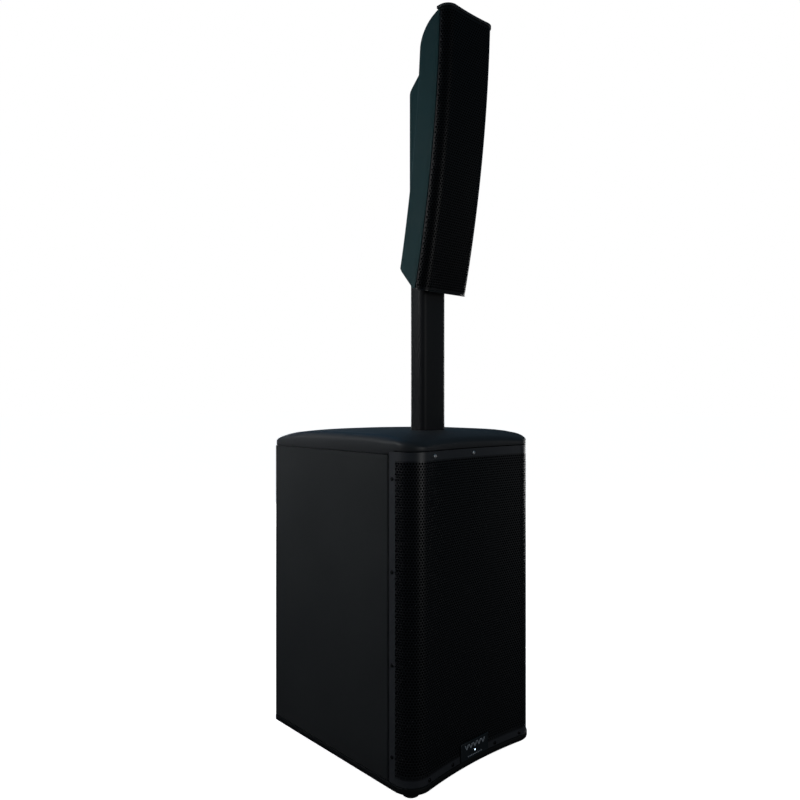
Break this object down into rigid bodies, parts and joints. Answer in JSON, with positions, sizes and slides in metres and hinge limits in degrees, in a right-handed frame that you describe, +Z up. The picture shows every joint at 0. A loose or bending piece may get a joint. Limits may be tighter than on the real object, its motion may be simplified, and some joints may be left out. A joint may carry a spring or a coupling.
{
  "type": "column pa system",
  "caption": "Powered bass cabinet with wraparound grille, plug-in spacer pole and slim curved column head that slides over the pole.",
  "frame": {"origin": "on the floor under the middle of the cabinet", "axes": "+Z up the pole, front of the cabinet faces -Y, controls face +Y, +X to the right seen from the front"},
  "size_m": [0.354, 0.4208, 1.426],
  "materials": {
    "textured_paint": "satin",
    "plywood": "matte",
    "black_plastic": "satin",
    "black_steel": "satin",
    "dark_foam": "matte",
    "rubber": "matte",
    "badge": "satin",
    "led_lens": "gloss",
    "anodised": "satin",
    "cast_metal": "matte",
    "ferrite": "matte",
    "paper": "matte",
    "copper": "satin",
    "heatsink_metal": "satin",
    "circuit": "satin",
    "screen": "gloss",
    "bright_metal": "satin",
    "red_switch": "gloss"
  },
  "bodies": {
    "cabinet": {"side_panel_left": "textured_paint", "side_panel_right": "textured_paint", "top_board": "plywood", "bottom_board": "plywood", "front_board": "plywood", "rear_board": "textured_paint", "cabinet_brace": "plywood", "top_cap": "black_plastic", "base_tray": "black_plastic", "foot_front_left": "rubber", "foot_front_right": "rubber", "foot_rear_left": "rubber", "foot_rear_right": "rubber", "cabinet_grille": "black_steel", "cabinet_grille_foam": "dark_foam", "badge_plate": "badge", "status_light": "led_lens", "pole_socket": "black_plastic", "socket_contacts": "bright_metal", "woofer_basket": "cast_metal", "woofer_surround": "rubber", "woofer_spider": "paper", "woofer_magnet": "ferrite", "port_tube": "black_plastic", "handle_cup": "black_plastic", "handle_grip": "rubber", "amplifier_panel": "black_steel", "display_lens": "screen", "input_jack_1": "black_plastic", "input_jack_2": "black_plastic", "link_jack": "black_plastic", "power_inlet": "black_plastic", "heatsink": "heatsink_metal", "amplifier_board": "circuit"},
    "pole": {"pole_tube": "anodised", "pole_plug_lower": "black_plastic", "pole_plug_upper": "black_plastic"},
    "head": {"head_shell": "black_plastic", "head_grille": "black_steel", "head_top_cap": "black_plastic", "head_rim": "black_plastic", "head_baffle": "black_plastic", "mount_hood": "black_plastic", "upper_mid_frame": "cast_metal", "lower_mid_frame": "cast_metal", "waveguide": "black_plastic", "compression_driver": "ferrite", "head_contacts": "bright_metal"},
    "woofer_moving": {"woofer_cone": "paper", "woofer_voice_coil": "copper"},
    "upper_mid_moving": {"upper_mid_cone": "paper"},
    "lower_mid_moving": {"lower_mid_cone": "paper"},
    "lock_knob": {"lock_knob": "black_plastic"},
    "menu_dial": {"menu_dial": "black_plastic"},
    "level_knob_1": {"level_knob_1": "black_plastic"},
    "level_knob_2": {"level_knob_2": "black_plastic"},
    "mode_button": {"mode_button": "rubber"},
    "pairing_button": {"pairing_button": "rubber"},
    "power_rocker": {"power_rocker": "red_switch"}
  },
  "joints": [
    {"name": "pole_lift", "type": "slide", "parent": "cabinet", "child": "pole", "axis": [0, 0, 1], "range_m": [0, 0.13]},
    {"name": "head_lift", "type": "slide", "parent": "pole", "child": "head", "axis": [0, 0, 1], "range_m": [0, 0.4]},
    {"name": "woofer_travel", "type": "slide", "parent": "cabinet", "child": "woofer_moving", "axis": [0, -1, 0], "range_m": [-0.006, 0.006], "stiffness_N_per_m": 2500},
    {"name": "upper_mid_travel", "type": "slide", "parent": "head", "child": "upper_mid_moving", "axis": [0, -0.9985, -0.0556], "range_m": [-0.002, 0.002], "stiffness_N_per_m": 1500},
    {"name": "lower_mid_travel", "type": "slide", "parent": "head", "child": "lower_mid_moving", "axis": [0, -0.982, -0.1889], "range_m": [-0.002, 0.002], "stiffness_N_per_m": 1500},
    {"name": "lock_turn", "type": "hinge", "parent": "head", "child": "lock_knob", "pos_m": [0, -0.05475, 1.2665], "axis": [0, 1, 0], "range_deg": [0, 360]},
    {"name": "menu_turn", "type": "hinge", "parent": "cabinet", "child": "menu_dial", "pos_m": [0.07, 0.1845, 0.405], "axis": [0, -1, 0], "continuous": true},
    {"name": "level_1_turn", "type": "hinge", "parent": "cabinet", "child": "level_knob_1", "pos_m": [-0.058, 0.1845, 0.353], "axis": [0, -1, 0], "range_deg": [-150, 150]},
    {"name": "level_2_turn", "type": "hinge", "parent": "cabinet", "child": "level_knob_2", "pos_m": [0, 0.1845, 0.353], "axis": [0, -1, 0], "range_deg": [-150, 150]},
    {"name": "mode_press", "type": "slide", "parent": "cabinet", "child": "mode_button", "axis": [0, -1, 0], "range_m": [0, 0.0015], "stiffness_N_per_m": 400},
    {"name": "pairing_press", "type": "slide", "parent": "cabinet", "child": "pairing_button", "axis": [0, -1, 0], "range_m": [0, 0.0015], "stiffness_N_per_m": 400},
    {"name": "power_switch", "type": "hinge", "parent": "cabinet", "child": "power_rocker", "pos_m": [0, 0.1845, 0.267], "axis": [1, 0, 0], "range_deg": [0, 12]}
  ]
}
